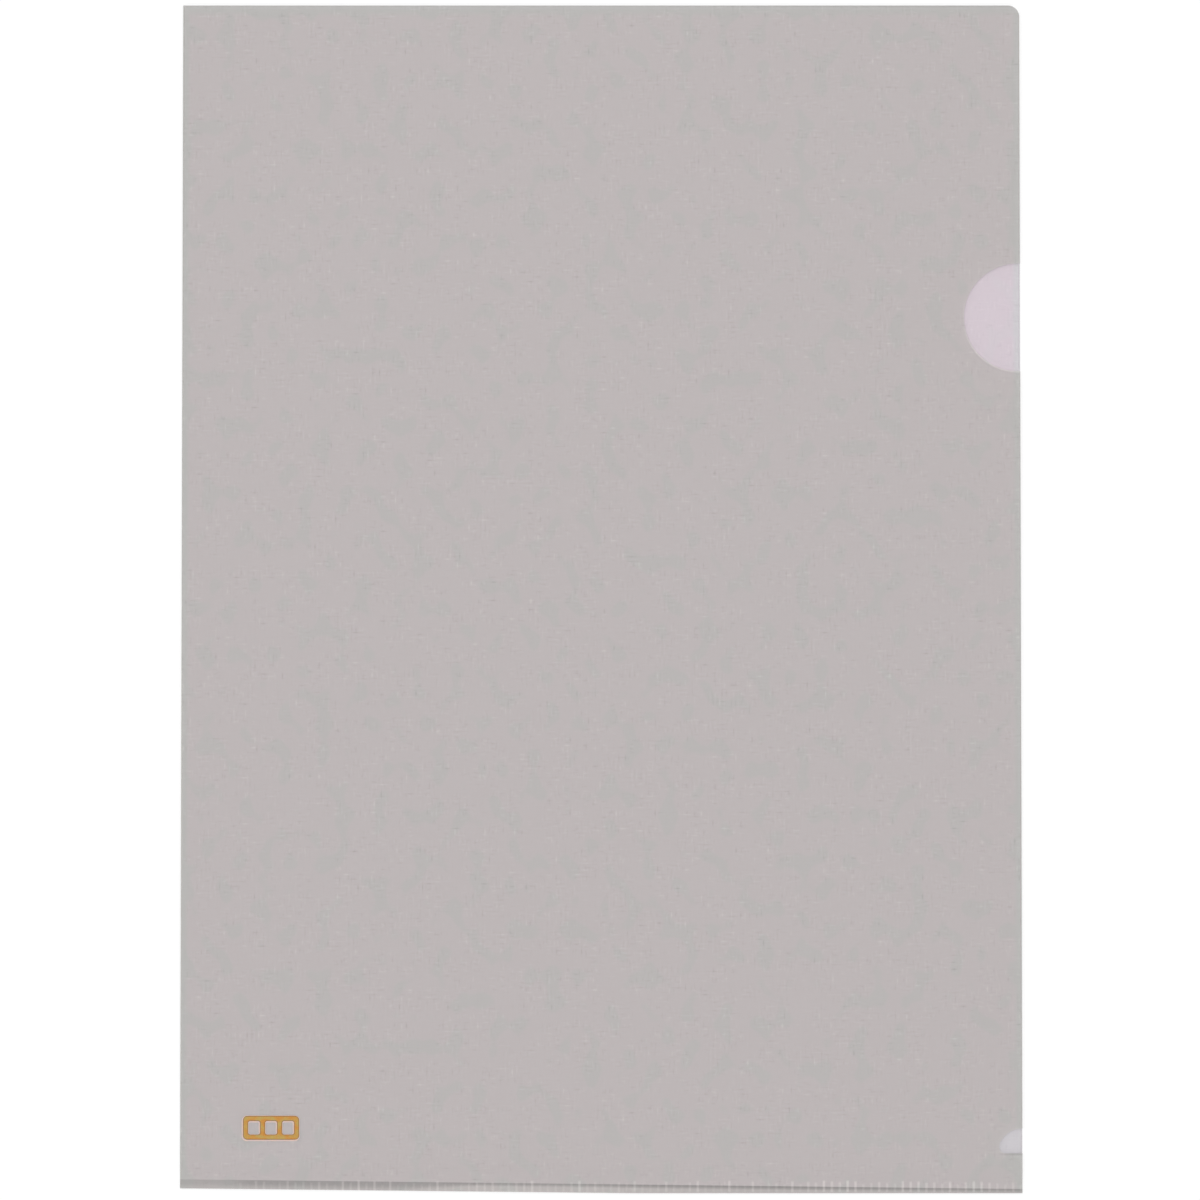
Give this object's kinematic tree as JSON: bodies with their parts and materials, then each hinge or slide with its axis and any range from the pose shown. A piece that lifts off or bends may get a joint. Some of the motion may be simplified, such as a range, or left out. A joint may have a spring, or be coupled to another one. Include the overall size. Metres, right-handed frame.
{
  "type": "l-shaped plastic folder",
  "caption": "Translucent A4 document folder of folded film, welded along the bottom and open at the top and right side, with a thumb notch; its front corner bends open.",
  "frame": {"origin": "under the middle of the closed folder, on the plane that the back sheet lies on", "axes": "+X from the folded side to the open side, +Y from the weld to the open top, +Z out of the front sheet"},
  "size_m": [0.219, 0.31, 0.0007],
  "materials": {
    "film": "translucent grey film with a fine pressed grain",
    "welded_film": "translucent grey film, pressed into fine ribs",
    "gold_foil": "shiny gold hot-stamped foil"
  },
  "bodies": {
    "folder_base": {"back_sheet": "film", "spine_fold": "film", "front_sheet": "film", "weld_shoulder": "film", "bottom_weld": "welded_film", "foil_mark": "gold_foil"},
    "bend_1": {"front_bend_strip_1": "film"},
    "bend_2": {"front_bend_strip_2": "film"},
    "bend_3": {"front_bend_strip_3": "film"},
    "bend_4": {"front_bend_strip_4": "film"},
    "bend_5": {"front_bend_strip_5": "film"},
    "bend_6": {"front_bend_strip_6": "film"},
    "bend_7": {"front_bend_strip_7": "film"},
    "free_corner": {"front_free_corner": "film"}
  },
  "joints": [
    {"name": "front_bend_1", "type": "hinge", "parent": "folder_base", "child": "bend_1", "pos_m": [0.00016, 0.00673, 0.00057], "axis": [0.5935, -0.8048, 0], "range_deg": [0, 10], "stiffness_Nm_per_rad": 0.023},
    {"name": "front_bend_2", "type": "hinge", "parent": "bend_1", "child": "bend_2", "pos_m": [0.00741, 0.01207, 0.00057], "axis": [0.5935, -0.8048, 0], "range_deg": [0, 10], "stiffness_Nm_per_rad": 0.023},
    {"name": "front_bend_3", "type": "hinge", "parent": "bend_2", "child": "bend_3", "pos_m": [0.01465, 0.01741, 0.00057], "axis": [0.5935, -0.8048, 0], "range_deg": [0, 10], "stiffness_Nm_per_rad": 0.023},
    {"name": "front_bend_4", "type": "hinge", "parent": "bend_3", "child": "bend_4", "pos_m": [0.0219, 0.02275, 0.00057], "axis": [0.5935, -0.8048, 0], "range_deg": [0, 10], "stiffness_Nm_per_rad": 0.023},
    {"name": "front_bend_5", "type": "hinge", "parent": "bend_4", "child": "bend_5", "pos_m": [0.02914, 0.02809, 0.00057], "axis": [0.5935, -0.8048, 0], "range_deg": [0, 10], "stiffness_Nm_per_rad": 0.023},
    {"name": "front_bend_6", "type": "hinge", "parent": "bend_5", "child": "bend_6", "pos_m": [0.03638, 0.03343, 0.00057], "axis": [0.5935, -0.8048, 0], "range_deg": [0, 10], "stiffness_Nm_per_rad": 0.023},
    {"name": "front_bend_7", "type": "hinge", "parent": "bend_6", "child": "bend_7", "pos_m": [0.04363, 0.03877, 0.00057], "axis": [0.5935, -0.8048, 0], "range_deg": [0, 10], "stiffness_Nm_per_rad": 0.023},
    {"name": "front_bend_8", "type": "hinge", "parent": "bend_7", "child": "free_corner", "pos_m": [0.05087, 0.04411, 0.00057], "axis": [0.5935, -0.8048, 0], "range_deg": [0, 10], "stiffness_Nm_per_rad": 0.023}
  ],
  "couplings": [
    {"joint": "front_bend_2", "follows": "front_bend_1", "ratio": 1},
    {"joint": "front_bend_3", "follows": "front_bend_1", "ratio": 1},
    {"joint": "front_bend_4", "follows": "front_bend_1", "ratio": 1},
    {"joint": "front_bend_5", "follows": "front_bend_1", "ratio": 1},
    {"joint": "front_bend_6", "follows": "front_bend_1", "ratio": 1},
    {"joint": "front_bend_7", "follows": "front_bend_1", "ratio": 1},
    {"joint": "front_bend_8", "follows": "front_bend_1", "ratio": 1}
  ]
}
